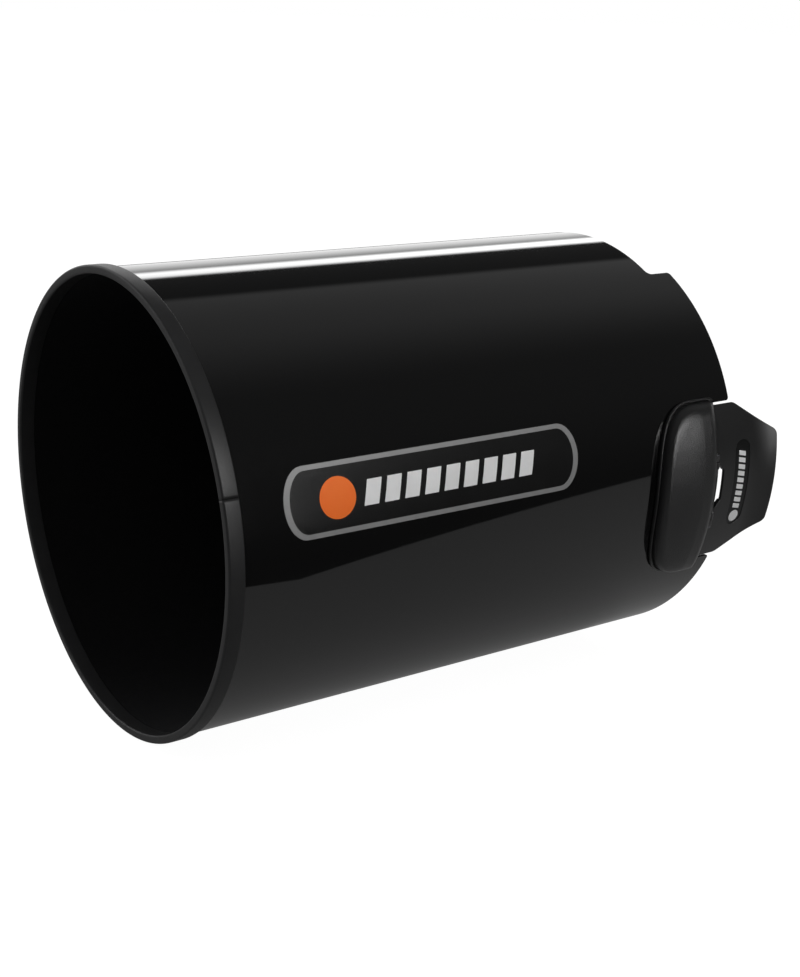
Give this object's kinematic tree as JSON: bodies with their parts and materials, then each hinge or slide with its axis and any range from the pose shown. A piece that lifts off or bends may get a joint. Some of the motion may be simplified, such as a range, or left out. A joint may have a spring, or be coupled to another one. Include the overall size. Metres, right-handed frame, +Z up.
{
  "type": "telescope dew shield",
  "caption": "Round black dew shield that slides over the front of a catadioptric telescope and is locked by a hinged cam lever with a clamping shoe; notched for mounting bars.",
  "frame": {"origin": "centre of the open rear end, where the telescope's front cell enters", "axes": "+Y along the optical axis, back towards the telescope's rear; +Z up; +X towards the latch"},
  "size_m": [0.2527, 0.3544, 0.2432],
  "materials": {
    "tube_paint": "gloss black paint over aluminium",
    "felt": "black flocked felt",
    "trim_rubber": "satin moulded rubber",
    "label_grey": "satin grey print",
    "label_black": "gloss black print",
    "label_orange": "gloss orange print",
    "label_white": "gloss white print",
    "gasket_rubber": "matte foam rubber",
    "base_plastic": "matte moulded plastic",
    "cover_plastic": "fine grained moulded plastic",
    "plate_steel": "blackened steel",
    "screw_steel": "zinc plated",
    "insert_brass": "turned brass",
    "pin_steel": "ground steel",
    "clip_steel": "black spring steel",
    "stud_steel": "turned steel",
    "spring_steel": "bright spring wire",
    "lever_plastic": "satin moulded plastic",
    "bush_plastic": "natural acetal",
    "inlay_black": "gloss black print",
    "mark_white": "gloss white print",
    "shoe_metal": "die cast, tumbled",
    "pad_rubber": "matte rubber"
  },
  "bodies": {
    "shield": {"shield_tube": "tube_paint", "felt_liner": "felt", "front_trim": "trim_rubber", "label_frame": "label_grey", "label_panel": "label_black", "label_dot": "label_orange", "label_bars": "label_white", "latch_gasket": "gasket_rubber", "latch_base": "base_plastic", "latch_cover": "cover_plastic", "backing_plate": "plate_steel", "base_screws": "screw_steel", "screw_inserts": "insert_brass", "hinge_pin": "pin_steel", "pin_clips": "clip_steel", "guide_studs": "stud_steel", "return_springs": "spring_steel"},
    "lever": {"lever": "lever_plastic", "hinge_bushes": "bush_plastic", "lever_inlay": "inlay_black", "lever_marks": "mark_white"},
    "shoe": {"pressure_shoe": "shoe_metal", "shoe_pad": "pad_rubber"}
  },
  "joints": [
    {"name": "lever_hinge", "type": "hinge", "parent": "shield", "child": "lever", "pos_m": [0.1236, -0.0196, 0], "axis": [0, 0, -1], "range_deg": [0, 90]},
    {"name": "shoe_slide", "type": "slide", "parent": "shield", "child": "shoe", "axis": [1, 0, 0], "range_m": [0, 0.002]}
  ],
  "couplings": [
    {"joint": "shoe_slide", "follows": "lever_hinge", "m_per_rad": 0.001273}
  ]
}
